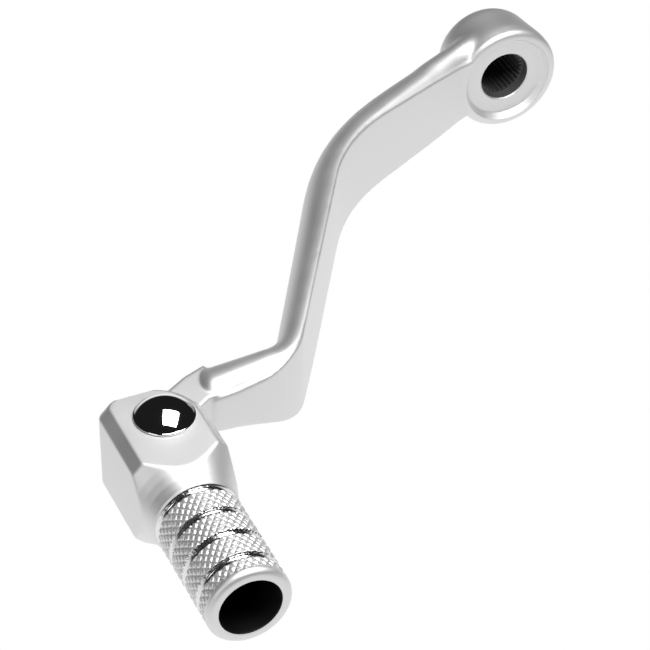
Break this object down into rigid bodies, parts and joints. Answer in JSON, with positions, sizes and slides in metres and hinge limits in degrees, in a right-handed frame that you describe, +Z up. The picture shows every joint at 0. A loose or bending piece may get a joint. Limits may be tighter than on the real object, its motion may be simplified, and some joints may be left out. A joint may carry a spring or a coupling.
{
  "type": "motorcycle gear shift lever",
  "caption": "Forged gear shift lever with a serrated shaft hub, an S-shaped arm and a sprung folding toe piece with a knurled barrel.",
  "frame": {"origin": "on the shaft axis, in the plane of the washer seat inside the hub's recess", "axes": "+Z up along the pivot of the toe piece; Y along the shift shaft with -Y outboard; the lever reaches forward along -X"},
  "size_m": [0.1505, 0.161, 0.0298],
  "materials": {
    "arm_aluminium": "silver, fine blasted satin",
    "toe_aluminium": "silver, machined and satin anodised, knurled barrel",
    "rivet_chrome": "polished chrome",
    "washer_steel": "zinc plated steel",
    "bush_bronze": "sintered bronze",
    "spring_steel": "oiled spring wire"
  },
  "bodies": {
    "arm": {"lever_arm": "arm_aluminium", "pivot_bush": "bush_bronze", "upper_thrust_washer": "washer_steel", "lower_thrust_washer": "washer_steel", "return_spring": "spring_steel"},
    "toe": {"toe_piece": "toe_aluminium", "pivot_rivet": "rivet_chrome", "rivet_washer": "washer_steel"}
  },
  "joints": [
    {"name": "toe_fold", "type": "hinge", "parent": "arm", "child": "toe", "pos_m": [-0.1257, -0.0978, 0.0026], "axis": [0, 0, 1], "range_deg": [0, 75], "stiffness_Nm_per_rad": 0.15, "springref_deg": -60.16, "deforming": ["return_spring"]}
  ]
}
